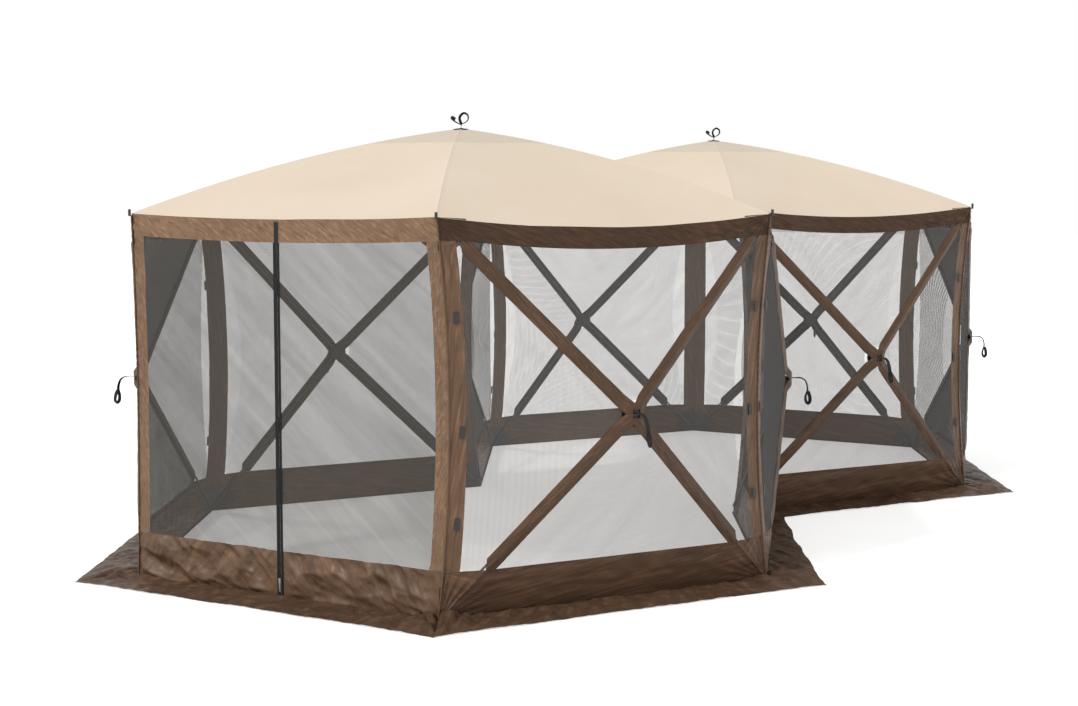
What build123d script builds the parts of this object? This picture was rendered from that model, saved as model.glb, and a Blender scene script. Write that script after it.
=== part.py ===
# Twin hub-style screen house: two six-sided pop-up shelters joined at one open side.
# Millimetres, +Z up. The origin is on the ground, in the middle of the shared open side,
# and +X runs along the line that joins the two shelters' centres, away from the door.
from build123d import *
import os
from math import atan2, cos, pi, sin, sqrt

os.makedirs("parts", exist_ok=True)

# Driving dimensions
SIDE = 1850.0  # one side of each hexagon, which is also its corner radius
EAVE = 1850.0  # height of the eave at the corners
PEAK = 2300.0  # height of each roof's fabric at its centre
BULGE = 205.0  # how far a wall's hub stands out from the line between its corners
CORNER_BOW = 60.0  # how far tension draws a wall's upright edge in at half height
EAVE_SAG = 57.0  # how far the eave of a hub wall drops in the middle
DOOR_SAG = 20.0  # the same for the door wall and the shared side
RIDGE_BOW = 55.0  # how far each roof pole arches above its chord

CLOTH = 1.2  # thickness that stands in for every cloth
SEAM_GAP = 1.2  # clearance round each panel
BAND_DEPTH = 110.0  # brown eave band
STRIP_WIDTH = 88.0  # brown strip beside each corner of a hub wall
DOOR_STRIP_WIDTH = 72.0
SKIRT_HEIGHT = 225.0
FLAP_WIDTH = 290.0  # flap that lies on the ground outside each wall
FLAP_THICK = 1.5
FLAP_START = 4.0  # the flap starts this far outside the wall's foot
SLEEVE_HALF = 38.0  # half the width of the sleeve over each wall pole
SLEEVE_LIFT = 0.2
SLEEVE_START = 130.0  # from the corner, along the pole
CAP_RING = 0.71  # where the roof's cap seam crosses a ridge, from corner to peak
LOW_RING = 0.36

POLE_R = 5.5
FERRULE_R = 6.5
FERRULE_LONG = 60.0
ROOF_FERRULE_LONG = 40.0
FERRULE_GAP = 1.0
POLE_IN = 12.0  # how far a wall pole runs inside the fabric
POLE_LIFT = 15.0  # how far its outer end stays from the ground or the eave
POLE_TIP_GAP = 45.0  # from the corner to the pole's outer end
POLE_HUB_GAP = 48.0  # from the hub's centre to the pole's inner end

HUB_R = 50.0
HUB_POST_R = 12.0
HUB_GAP_MID = 10.0  # half the slot between the hub's plates, at the post
HUB_GAP_RIM = 16.5  # and at the rim
HUB_PLATE = 7.0
HUB_DOME = 5.0
HUB_SHOULDER_R = 30.0  # where the dome over a hub's plate has risen to HUB_SHOULDER
HUB_SHOULDER = 3.5
HUB_CLEAR = 78.0  # radius of the opening that the fabric leaves for a hub
STRAP_WIDE = 25.0
STRAP_THICK = 5.0
STRAP_ROUTE = [(25, 2), (70, 0), (104, -28), (119, -75), (124, -150)]  # out from the hub, and up
STRAP_RISE = 5.0  # the strap starts this far in front of the hub's centre

ROOF_POLE_IN = 20.0  # from the corner towards the roof's centre
ROOF_POLE_DROP = 14.0  # under the fabric at the corner
ROOF_APEX_DROP = 52.0  # under the fabric at the peak
ROOF_TIP_GAP = 60.0
ROOF_HUB_GAP = 75.0
ROOF_LEVEL = 7.5  # neighbouring poles sit this far above and below the hub's middle
ROOF_TOP_R = 45.0
ROOF_BASE_R = 85.0
ROOF_TOP_GAP = 31.5
ROOF_BASE_GAP_MID = 17.0
ROOF_BASE_GAP_RIM = 24.5
ROOF_PLATE = 6.0
ROOF_HOLE = 30.0  # radius that the canopy leaves round the strap's stem
LOOP_R = 38.0
LOOP_STEM = 26.0

ZIP_HALF = 20.0
ZIP_COIL_HALF = 4.0
ZIP_COIL_THICK = 3.0
ZIP_FOOT = 3.0
SLIDER_Z = 62.0  # underside of the closed zip's slider
TAB = (25.0, 55.0, 2.6)  # window tab, wide, high, thick
TAB_LEVELS = (0.24, 0.47, 0.75)  # of the eave's height
TAB_INSET = 64.0  # from the wall's upright edge
CAP_R = 7.0
CAP_HIGH = 34.0
CAP_OUT = 5.0  # clearance from the corner to the cap's side
CAP_DROP = 12.0  # the cap starts this far below the eave
LOOP_TAB = (30.0, 60.0, 2.5)  # stake loop, wide, long, thick
LOOP_START = 12.0
LOOP_LIFT = 0.3
SLIDER_HALF = 6.0
SLIDER_HIGH = 30.0
SLIDER_THICK = 5.0
PULL_HALF = 5.0
PULL_LONG = 38.0
PULL_THICK = 2.0
SLIDER_GAP = 0.5
VALANCE_DROP = 1.0
VALANCE_END_GAP = 12.0

UP = Vector(0, 0, 1)
HALF = SIDE / 2
REACH = SIDE * sqrt(3) / 2  # from a hexagon's centre to the middle of a side
CENTRES = {"west": Vector(-REACH, 0), "east": Vector(REACH, 0)}
# The outline's ten corners, counterclockwise from above, starting at the door's left
CORNERS = [
    Vector(-2 * REACH, HALF),
    Vector(-2 * REACH, -HALF),
    Vector(-REACH, -SIDE),
    Vector(0, -HALF),
    Vector(REACH, -SIDE),
    Vector(2 * REACH, -HALF),
    Vector(2 * REACH, HALF),
    Vector(REACH, SIDE),
    Vector(0, HALF),
    Vector(-REACH, SIDE),
]
HEXAGONS = {"west": (0, 1, 2, 3, 8, 9), "east": (3, 4, 5, 6, 7, 8)}
DOOR = 0  # wall n runs from corner n to corner n + 1
HUB_WALLS = range(1, 10)
SHELTER = {n: "east" if 3 <= n <= 7 else "west" for n in range(10)}


def corner(n):
    return CORNERS[n % 10]


def along(n):
    """Unit vector along wall n, from left to right as seen from outside."""
    return (corner(n + 1) - corner(n)).normalized()


def outward(n):
    return along(n).cross(UP)


def edge_bow(n):
    """Where a corner's upright edge goes at half height, from the straight line."""
    if n % 10 == DOOR:
        return along(9) * -CORNER_BOW
    if n == DOOR + 1:
        return along(n) * CORNER_BOW
    return (along(n) - along(n - 1)).normalized() * CORNER_BOW


def panel(points, facing, thick=CLOTH, gap=SEAM_GAP, lift=0.0):
    """A flat convex panel, drawn in by gap all round and thickened towards facing."""
    normal = (points[1] - points[0]).cross(points[2] - points[0]).normalized()
    if normal.dot(facing) < 0:
        points, normal = points[::-1], normal * -1
    inset = []
    for k, point in enumerate(points):
        before = normal.cross((point - points[k - 1]).normalized())
        after = normal.cross((points[(k + 1) % len(points)] - point).normalized())
        shift = (before + after) * (gap / (1 + before.dot(after)))
        inset.append(point + shift + normal * lift)
    face = Face(Wire.make_polygon(inset, close=True))
    return Solid.extrude(face, normal * thick)


def rod(start, end, radius):
    line = end - start
    circle = Plane(origin=start, z_dir=line) * Circle(radius)
    return Solid.extrude(circle.face(), line)


def toward(start, end, distance):
    return start + (end - start).normalized() * distance


def write(name, solids):
    export_step(Compound(children=list(solids)), f"parts/{name}.step")


def wall_frame(n):
    """The points round a hub wall, in order, each edge with the strip it carries."""
    left, right = corner(n), corner(n + 1)
    middle = (left + right) * 0.5
    top = UP * EAVE
    half_up = UP * (EAVE / 2)
    return [
        (left + top, "band"),
        (middle + top - UP * EAVE_SAG, "band"),
        (right + top, "strip"),
        (right + half_up + edge_bow(n + 1), "strip"),
        (right, "skirt"),
        (left, "strip"),
        (left + half_up + edge_bow(n), "strip"),
    ]


WIDTHS = {"band": BAND_DEPTH, "strip": STRIP_WIDTH, "skirt": SKIRT_HEIGHT}


def apex(n):
    """The middle of a hub wall's fabric, where its hub comes through."""
    return (corner(n) + corner(n + 1)) * 0.5 + UP * (EAVE / 2) + outward(n) * BULGE


def wall_panels(n):
    """The mesh and the brown strips of a hub wall, one pair for each facet."""
    frame, tip = wall_frame(n), apex(n)
    mesh, strips = [], {"band": [], "strip": [], "skirt": []}
    for k, (a, kind) in enumerate(frame):
        b = frame[(k + 1) % len(frame)][0]
        high = (tip - a).cross(b - a).length / (b - a).length
        share = WIDTHS[kind] / high
        a_in, b_in = a + (tip - a) * share, b + (tip - b) * share
        strips[kind].append(panel([a, b, b_in, a_in], outward(n)))
        ends = [toward(tip, b_in, HUB_CLEAR), toward(tip, a_in, HUB_CLEAR)]
        mesh.append(panel([a_in, b_in] + ends, outward(n)))
    return mesh, strips


def wall_sleeves(n):
    """The sleeve over each of a hub wall's four poles: a flat strip on both facets."""
    frame, tip = wall_frame(n), apex(n)
    points = [point for point, _ in frame]
    solids = []
    for k in (0, 2, 4, 5):
        foot = points[k]
        line = (tip - foot).normalized()
        start, end = foot + line * SLEEVE_START, tip - line * HUB_CLEAR
        for beside in (points[k - 1], points[(k + 1) % len(points)]):
            side = (beside - foot) - line * (beside - foot).dot(line)
            side = side.normalized() * SLEEVE_HALF
            strip = [start, end, end + side, start + side]
            solids.append(panel(strip, outward(n), lift=CLOTH + SLEEVE_LIFT))
    return solids


def pole_corner(n, right_end, high):
    """The point that a wall pole's axis aims at, beside one of the wall's corners."""
    foot = corner(n + 1) if right_end else corner(n)
    level = EAVE - POLE_LIFT if high else POLE_LIFT
    return foot + UP * level - outward(n) * POLE_IN


def hub_centre(n):
    return apex(n) - outward(n) * POLE_IN


def pole(hub, tip, radius=POLE_R):
    """A straight pole from a hub to a corner, with a ferrule on each end."""
    inner, outer = toward(hub, tip, POLE_HUB_GAP), toward(tip, hub, POLE_TIP_GAP)
    first, last = toward(inner, outer, FERRULE_LONG), toward(outer, inner, FERRULE_LONG)
    return [
        rod(inner, first, FERRULE_R),
        rod(first, last, radius),
        rod(last, outer, FERRULE_R),
    ]


def wall_poles(n, high):
    solids = []
    for right_end in (False, True):
        solids += pole(hub_centre(n), pole_corner(n, right_end, high))
    return solids


def spun(outline, plane):
    """A solid of revolution from (radius, height) points, on the plane's normal."""
    face = Face(Wire.make_polygon([Vector(r, 0, h) for r, h in outline], close=True))
    return plane * revolve(face, Axis.Z)


def strap(plane):
    """A webbing pull, in the plane's local X (out) and Y (up): out, then hanging."""
    upper, lower = [], []
    for k, (x, y) in enumerate(STRAP_ROUTE):
        ahead = STRAP_ROUTE[min(k + 1, len(STRAP_ROUTE) - 1)]
        behind = STRAP_ROUTE[max(k - 1, 0)]
        angle = atan2(ahead[1] - behind[1], ahead[0] - behind[0]) + pi / 2
        dx, dy = cos(angle) * STRAP_THICK / 2, sin(angle) * STRAP_THICK / 2
        upper.append((x + dx, y + dy))
        lower.append((x - dx, y - dy))
    face = plane * Face(Wire.make_polygon([Vector(*p) for p in upper + lower[::-1]], close=True))
    return extrude(face, amount=STRAP_WIDE / 2, both=True)


def wall_hub(n):
    """A spool that the four poles' ends turn in, with a pull strap on its face."""
    centre, face_out = hub_centre(n), outward(n)
    spool = Plane(origin=centre, x_dir=along(n), z_dir=face_out)
    rim, mid = HUB_GAP_RIM, HUB_GAP_MID
    crown = rim + HUB_PLATE
    profile = [
        (0, -crown - HUB_DOME),
        (HUB_SHOULDER_R, -crown - HUB_SHOULDER),
        (HUB_R, -crown),
        (HUB_R, -rim),
        (HUB_POST_R, -mid),
        (HUB_POST_R, mid),
        (HUB_R, rim),
        (HUB_R, crown),
        (HUB_SHOULDER_R, crown + HUB_SHOULDER),
        (0, crown + HUB_DOME),
    ]
    pull = strap(Plane(origin=centre + face_out * STRAP_RISE, x_dir=face_out, z_dir=along(n) * -1))
    return [spun(profile, spool), pull]


def ridge(shelter, n, share):
    """A point on a roof's ridge, from corner n (share 0) to the peak (share 1)."""
    foot, top = corner(n) + UP * EAVE, CENTRES[shelter] + UP * PEAK
    return foot + (top - foot) * share + UP * (4 * RIDGE_BOW * share * (1 - share))


def eave_middle(n, m):
    hub_wall = m == (n + 1) % 10 and n != DOOR
    sag = EAVE_SAG if hub_wall else DOOR_SAG
    return (corner(n) + corner(m)) * 0.5 + UP * (EAVE - sag)


def canopy(shelter):
    """Six gores, each in three rows, with the lowest row cut along its sagging eave."""
    loop, panels = HEXAGONS[shelter], []
    hole = 1 - ROOF_HOLE / SIDE
    for k, n in enumerate(loop):
        m = loop[(k + 1) % 6]
        middle = eave_middle(n, m)
        low_n, low_m = ridge(shelter, n, LOW_RING), ridge(shelter, m, LOW_RING)
        panels.append([ridge(shelter, n, 0), middle, low_n])
        panels.append([middle, low_m, low_n])
        panels.append([middle, ridge(shelter, m, 0), low_m])
        for start, end in ((LOW_RING, CAP_RING), (CAP_RING, hole)):
            left = [ridge(shelter, n, end), ridge(shelter, n, start)]
            panels.append(left + [ridge(shelter, m, start), ridge(shelter, m, end)])
    return [panel(points, UP) for points in panels]


def roof_apex(shelter):
    return CENTRES[shelter] + UP * (PEAK - ROOF_APEX_DROP)


def roof_pole_corner(shelter, n):
    foot = toward(corner(n), CENTRES[shelter], ROOF_POLE_IN)
    return foot + UP * (EAVE - ROOF_POLE_DROP)


def roof_pole(shelter, n, level):
    """One arched roof pole, level above or below the middle of the hub's slot."""
    hub, tip = roof_apex(shelter), roof_pole_corner(shelter, n)
    long = (tip - hub).length
    shares = (ROOF_HUB_GAP / long, 0.5, 1 - ROOF_TIP_GAP / long)
    a, b, c = (
        hub + (tip - hub) * s + UP * (4 * RIDGE_BOW * s * (1 - s) + level * (1 - s))
        for s in shares
    )
    arc = Edge.make_three_point_arc(a, b, c)
    circle = Plane(origin=a, z_dir=arc % 0) * Circle(POLE_R)
    shaft = sweep(circle, path=arc)
    return [shaft, rod(toward(c, b, -FERRULE_GAP), toward(c, b, -ROOF_FERRULE_LONG), FERRULE_R)]


def roof_pole_pair(shelter, first):
    loop = HEXAGONS[shelter]
    left, right = loop[first], loop[first + 1]
    return roof_pole(shelter, left, ROOF_LEVEL) + roof_pole(shelter, right, -ROOF_LEVEL)


def roof_hub(shelter):
    """The hub under the peak, with a standing webbing loop above the canopy."""
    post = HUB_POST_R
    profile = [
        (0, -ROOF_BASE_GAP_RIM - ROOF_PLATE),
        (ROOF_BASE_R, -ROOF_BASE_GAP_RIM - ROOF_PLATE),
        (ROOF_BASE_R, -ROOF_BASE_GAP_RIM),
        (post, -ROOF_BASE_GAP_MID),
        (post, ROOF_TOP_GAP),
        (ROOF_TOP_R, ROOF_TOP_GAP),
        (ROOF_TOP_R, ROOF_TOP_GAP + ROOF_PLATE),
        (0, ROOF_TOP_GAP + ROOF_PLATE),
    ]
    top = roof_apex(shelter) + UP * (ROOF_TOP_GAP + ROOF_PLATE)
    stem = Box(STRAP_THICK, STRAP_WIDE, LOOP_STEM, align=(Align.CENTER, Align.CENTER, Align.MIN))
    ring_plane = Plane(origin=top + UP * (LOOP_STEM + LOOP_R), x_dir=(1, 0, 0), z_dir=(0, 1, 0))
    ring = Circle(LOOP_R) - Circle(LOOP_R - STRAP_THICK)
    ring_solid = extrude(ring_plane * ring, amount=STRAP_WIDE / 2, both=True)
    return [
        spun(profile, Plane(origin=roof_apex(shelter))),
        Pos(top.X, top.Y, top.Z) * stem,
        ring_solid,
    ]


def bow_at(level):
    """The share of the full bow that an upright edge has at a height above the ground."""
    return min(level, EAVE - level) / (EAVE / 2)


def door_edge(level):
    """How far the door wall reaches from its middle, at a height above the ground."""
    return HALF + CORNER_BOW * bow_at(level) * edge_bow(1).normalized().dot(along(DOOR))


def door_plane(across, level):
    """A point in the door wall's plane: across from its middle, and above ground."""
    return (corner(DOOR) + corner(1)) * 0.5 + along(DOOR) * across + UP * level


def door_point(across, level):
    """A point on the door wall's cloth. Its upright edges are drawn in towards the hub
    walls beside it, and its middle stays in the door wall's plane."""
    inward = edge_bow(1).dot(outward(DOOR)) * bow_at(level) * abs(across) / door_edge(level)
    return door_plane(across, level) + outward(DOOR) * inward


def band_foot(across):
    """The height of the door wall's band's lower edge, which sags towards the middle."""
    return EAVE - BAND_DEPTH - DOOR_SAG * (1 - across / HALF)


def door_panels():
    """The door wall: brown edges as on the others, and two mesh leaves, each a little
    twisted and so made of triangles."""
    waist = EAVE / 2
    nodes = {"band": [], "strip": [], "skirt": [], "left": [], "right": []}
    top = door_edge(EAVE - BAND_DEPTH)
    middle, low = door_edge(waist), door_edge(SKIRT_HEIGHT)
    top_in, middle_in, low_in = (x - DOOR_STRIP_WIDTH for x in (top, middle, low))
    for side, leaf in ((-1, "left"), (1, "right")):
        shapes = [
            ("band", [(HALF, EAVE), (0, EAVE - DOOR_SAG), (0, band_foot(0)),
                      (top, band_foot(top))]),
            ("strip", [(top, band_foot(top)), (middle, waist), (middle_in, waist),
                       (top_in, band_foot(top_in))]),
            ("strip", [(middle, waist), (low, SKIRT_HEIGHT), (low_in, SKIRT_HEIGHT),
                       (middle_in, waist)]),
            ("skirt", [(HALF, 0), (ZIP_HALF, 0), (ZIP_HALF, SKIRT_HEIGHT), (low, SKIRT_HEIGHT)]),
            (leaf, [(top_in, band_foot(top_in)), (middle_in, waist), (ZIP_HALF, waist),
                    (ZIP_HALF, band_foot(ZIP_HALF))]),
            (leaf, [(middle_in, waist), (low_in, SKIRT_HEIGHT), (ZIP_HALF, SKIRT_HEIGHT),
                    (ZIP_HALF, waist)]),
        ]
        for node, shape in shapes:
            a, b, c, d = [door_point(side * across, level) for across, level in shape]
            nodes[node] += [panel([a, b, c], outward(DOOR)), panel([a, c, d], outward(DOOR))]
    return nodes


def upright_bar(across, half_wide, low, high, start, thick):
    """A bar standing in front of the door wall's plane."""
    points = [door_plane(across + s * half_wide, z) for s, z in
              ((-1, low), (1, low), (1, high), (-1, high))]
    return panel(points, outward(DOOR), thick=thick, gap=0, lift=start)


def door_zipper():
    high = band_foot(0) - SLIDER_GAP
    tape_half = (ZIP_HALF - ZIP_COIL_HALF) / 2 - SEAM_GAP
    tape_mid = (ZIP_HALF + ZIP_COIL_HALF) / 2
    return [
        upright_bar(-tape_mid, tape_half, ZIP_FOOT, high, 0, CLOTH),
        upright_bar(tape_mid, tape_half, ZIP_FOOT, high, 0, CLOTH),
        upright_bar(0, ZIP_COIL_HALF, ZIP_FOOT, high, 0, ZIP_COIL_THICK),
    ]


def zipper_slider():
    front = ZIP_COIL_THICK + SLIDER_GAP
    low, top = SLIDER_Z - SLIDER_GAP, SLIDER_Z + SLIDER_HIGH
    return [
        upright_bar(0, SLIDER_HALF, SLIDER_Z, top, front, SLIDER_THICK),
        upright_bar(0, PULL_HALF, SLIDER_Z - PULL_LONG, low, front + PULL_THICK, PULL_THICK),
    ]


def flaps():
    """Flaps on the ground outside every wall, mitred at the corners."""
    solids = []
    for n in range(10):
        ends = []
        for m, before, after in ((n, n - 1, n), (n + 1, n, n + 1)):
            mitre = (outward(before % 10) + outward(after % 10)) * (2 / 3)
            ends.append([corner(m) + mitre * w for w in (FLAP_START, FLAP_WIDTH)])
        (a, b), (c, d) = ends
        solids.append(panel([a, b, d, c], UP, thick=FLAP_THICK))
    return solids


def shared_valance():
    """The band that hangs across the shared open side, under both canopies."""
    bottom = UP * BAND_DEPTH
    middle = (corner(3) + corner(8)) * 0.5 + UP * (EAVE - DOOR_SAG - VALANCE_DROP)
    solids = []
    for end in (corner(3) + UP * (EAVE - VALANCE_DROP), corner(8) + UP * (EAVE - VALANCE_DROP)):
        end = toward(end, middle, VALANCE_END_GAP)
        solids.append(panel([end, middle, middle - bottom, end - bottom], Vector(1, 0, 0)))
    return solids


def window_tabs(n):
    """Tabs beside a hub wall's upright edges, which fasten its wind panels."""
    frame, tip, solids = wall_frame(n), apex(n), []
    points = [point for point, _ in frame]
    wide, high, thick = TAB
    for level in TAB_LEVELS:
        upper = level > 0.5
        for a, b in ((6, 0) if upper else (5, 6), (3, 2) if upper else (4, 3)):
            low, top = points[a], points[b]
            edge = (top - low).normalized()
            foot = low + edge * ((level * EAVE - low.Z) / edge.Z)
            inside = (tip - foot) - edge * (tip - foot).dot(edge)
            centre = foot + inside.normalized() * TAB_INSET
            across, rise = inside.normalized() * (wide / 2), edge * (high / 2)
            shape = [centre - across - rise, centre + across - rise,
                     centre + across + rise, centre - across + rise]
            solids.append(panel(shape, outward(n), thick=thick, gap=0, lift=CLOTH + SLEEVE_LIFT))
    return solids


def corner_fittings(n):
    """A pole cap above a corner, and a stake loop on the flaps below it."""
    out = (outward(n % 10) + outward((n - 1) % 10)).normalized()
    cap = corner(n) + out * (CAP_R + CAP_OUT) + UP * (EAVE - CAP_DROP)
    wide, long, thick = LOOP_TAB
    side = out.cross(UP) * (wide / 2)
    near, far = corner(n) + out * LOOP_START, corner(n) + out * (LOOP_START + long)
    loop = panel([near - side, far - side, far + side, near + side], UP,
                 thick=thick, gap=0, lift=FLAP_THICK + LOOP_LIFT)
    return [rod(cap, cap + UP * CAP_HIGH, CAP_R), loop]


shelter_nodes = {
    f"{kind}_{shelter}": []
    for kind in ("skirt", "eave_band", "corner_strips", "pole_sleeves")
    for shelter in CENTRES
}
NODE_OF = {"band": "eave_band", "strip": "corner_strips", "skirt": "skirt"}

for n in HUB_WALLS:
    mesh, strips = wall_panels(n)
    write(f"screen_{n}", mesh)
    for kind, solids in strips.items():
        shelter_nodes[f"{NODE_OF[kind]}_{SHELTER[n]}"] += solids
    shelter_nodes[f"pole_sleeves_{SHELTER[n]}"] += wall_sleeves(n)
    write(f"upper_poles_{n}", wall_poles(n, high=True))
    write(f"lower_poles_{n}", wall_poles(n, high=False))
    write(f"hub_{n}", wall_hub(n))

door = door_panels()
for kind in NODE_OF:
    shelter_nodes[f"{NODE_OF[kind]}_west"] += door[kind]
shelter_nodes["eave_band_west"] += shared_valance()
write("door_leaf_left", door["left"])
write("door_leaf_right", door["right"])
write("door_zipper", door_zipper())
write("zipper_slider", zipper_slider())
for name, solids in shelter_nodes.items():
    write(name, solids)

for shelter in CENTRES:
    write(f"canopy_{shelter}", canopy(shelter))
    write(f"roof_hub_{shelter}", roof_hub(shelter))
    for pair in range(3):
        write(f"roof_poles_{shelter}_{pair + 1}", roof_pole_pair(shelter, 2 * pair))

write("ground_flaps", flaps())
fittings = [solid for n in HUB_WALLS for solid in window_tabs(n)]
fittings += [solid for n in range(10) for solid in corner_fittings(n)]
write("black_fittings", fittings)
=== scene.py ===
"""Looks for the twin hub-style screen house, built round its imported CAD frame."""
from math import cos, hypot, pi, radians, sin, sqrt

import bmesh
import bpy
import numpy as np
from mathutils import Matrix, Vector, noise


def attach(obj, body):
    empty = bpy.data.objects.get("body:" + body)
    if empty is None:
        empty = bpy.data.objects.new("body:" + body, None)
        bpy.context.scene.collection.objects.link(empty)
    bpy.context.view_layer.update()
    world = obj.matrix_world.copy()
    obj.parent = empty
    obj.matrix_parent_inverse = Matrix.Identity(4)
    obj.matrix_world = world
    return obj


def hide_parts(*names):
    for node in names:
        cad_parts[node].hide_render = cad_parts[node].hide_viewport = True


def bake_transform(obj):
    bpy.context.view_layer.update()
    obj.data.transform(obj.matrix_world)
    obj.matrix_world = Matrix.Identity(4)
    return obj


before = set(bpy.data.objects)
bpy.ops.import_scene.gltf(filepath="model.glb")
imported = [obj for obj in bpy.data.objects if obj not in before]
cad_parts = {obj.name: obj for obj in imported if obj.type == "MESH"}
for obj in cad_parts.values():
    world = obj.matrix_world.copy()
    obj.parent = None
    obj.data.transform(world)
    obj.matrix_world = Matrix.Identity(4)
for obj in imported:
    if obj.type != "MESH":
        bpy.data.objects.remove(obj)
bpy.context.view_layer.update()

# Driving dimensions in metres, the same as the CAD source's
SIDE = 1.85
EAVE = 1.85
PEAK = 2.30
BULGE = 0.205
CORNER_BOW = 0.060
EAVE_SAG = 0.057
DOOR_SAG = 0.020
RIDGE_BOW = 0.055
BAND_DEPTH = 0.110
STRIP_WIDTH = 0.088
DOOR_STRIP_WIDTH = 0.072
SKIRT_HEIGHT = 0.225
FLAP_WIDTH = 0.290
SLEEVE_HALF = 0.038
CAP_RING = 0.71
HUB_IN = 0.012  # how far a wall hub's centre lies inside the fabric
HUB_R = 0.050

UP = Vector((0, 0, 1))
HALF = SIDE / 2
REACH = SIDE * sqrt(3) / 2
# Corner n and wall n, which starts at it, are numbered from left to right as seen from outside
CORNERS = [
    Vector((x, y, 0))
    for x, y in (
        (-2 * REACH, HALF), (-2 * REACH, -HALF), (-REACH, -SIDE), (0, -HALF), (REACH, -SIDE),
        (2 * REACH, -HALF), (2 * REACH, HALF), (REACH, SIDE), (0, HALF), (-REACH, SIDE),
    )
]
CENTRES = {"west": Vector((-REACH, 0, 0)), "east": Vector((REACH, 0, 0))}
HEXAGONS = {"west": (0, 1, 2, 3, 8, 9), "east": (3, 4, 5, 6, 7, 8)}
HUB_WALLS = range(1, 10)
DOOR = 0
EDGES = ("top", "right", "bottom", "left")
HALVINGS = 40  # steps of a search by halves, enough for a float


def corner(n):
    return CORNERS[n % 10]


def along(n):
    return (corner(n + 1) - corner(n)).normalized()


def outward(n):
    return along(n).cross(UP)


def edge_bow(n):
    if n % 10 == DOOR:
        return -along(9) * CORNER_BOW
    if n == DOOR + 1:
        return along(n) * CORNER_BOW
    return (along(n) - along(n - 1)).normalized() * CORNER_BOW


def arch(v):
    """A bow's height along a span, from 0 at its ends to 1 in the middle."""
    return 4 * v * (1 - v)


def smooth(x):
    x = min(max(x, 0.0), 1.0)
    return x * x * (3 - 2 * x)


def blend_span(low, high, bends, ring):
    """Where a blend starts and ends for one ring's part of its curve to run from low to high."""
    a, b = bends[ring], bends[ring + 1]
    whole = (high - low) / (b - a)
    start = low - a * whole
    return start, start + whole


def unsmooth(y):
    """The x that smooth() turns into y."""
    low, high = 0.0, 1.0
    for _ in range(HALVINGS):
        middle = (low + high) / 2
        low, high = (middle, high) if smooth(middle) < y else (low, middle)
    return (low + high) / 2


# -------------------- materials


def node(tree, kind, **values):
    """A new shader node. Each value sets or feeds the socket, or the setting, of its name."""
    made = tree.nodes.new(kind)
    for name, value in values.items():
        if isinstance(value, bpy.types.NodeSocket):
            tree.links.new(value, made.inputs[name])
        elif name in made.inputs:
            made.inputs[name].default_value = value
        else:
            setattr(made, name, value)
    return made


def material(name, rough, **values):
    made = bpy.data.materials.new(name)
    made.use_nodes = True
    tree = made.node_tree
    shader = tree.nodes["Principled BSDF"]
    shader.inputs["Roughness"].default_value = rough
    for key, value in values.items():
        shader.inputs[key.replace("_", " ")].default_value = value
    return made, tree, shader


def feed(tree, shader, **sockets):
    for key, socket in sockets.items():
        tree.links.new(socket, shader.inputs[key.replace("_", " ")])


def coordinates(tree, scale=(1, 1, 1), place="Object", turn=0.0):
    """Places in the object's space, or in metres over the cloth with place "UV"."""
    source = node(tree, "ShaderNodeTexCoord").outputs[place]
    return node(tree, "ShaderNodeMapping", vector_type="TEXTURE", Vector=source,
                Scale=[1 / k for k in scale], Rotation=(0, 0, turn)).outputs["Vector"]


def cloud(tree, places, **values):
    """Cloudy noise, from 0 to 1."""
    return node(tree, "ShaderNodeTexNoise", Vector=places, **values).outputs["Fac"]


def bumps(tree, height, strength, distance, under=None):
    """The normals of a bumpy surface, on top of another's."""
    made = node(tree, "ShaderNodeBump", Strength=strength, Distance=distance, Height=height)
    if under:
        tree.links.new(under, made.inputs["Normal"])
    return made.outputs["Normal"]


def mix_colours(tree, factor, first, second):
    made = node(tree, "ShaderNodeMix", data_type="RGBA")
    tree.links.new(factor, made.inputs[0])
    for socket, value in ((made.inputs[6], first), (made.inputs[7], second)):
        if isinstance(value, tuple):
            socket.default_value = (*value, 1)
        else:
            tree.links.new(value, socket)
    return made.outputs[2]


def ramp(tree, source, *stops):
    """A grey that changes evenly between the values of (place, value) stops."""
    made = node(tree, "ShaderNodeValToRGB", Fac=source)
    elements = made.color_ramp.elements
    for element, (place, value) in zip(elements, stops):
        element.position = place
        element.color = (value, value, value, 1)
    return made.outputs["Color"]


def tinted(colour, share, more=0.0):
    return tuple(min(1, c * share + more) for c in colour)


def weave(tree, pitch, place="UV"):
    """Crossing threads of a plain weave, as a height from 0 to 2."""
    joined = node(tree, "ShaderNodeMath", operation="ADD")
    for socket, direction in zip(joined.inputs, ("X", "Y")):
        wave = node(tree, "ShaderNodeTexWave", wave_type="BANDS", bands_direction=direction,
                    Scale=pi / 10 / pitch, Vector=coordinates(tree, place=place))
        tree.links.new(wave.outputs["Color"], socket)
    return joined.outputs[0]


CLOTH_PITCH = 0.0009
NET_PITCH = 0.0016
WEBBING_PITCH = 0.0022


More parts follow.
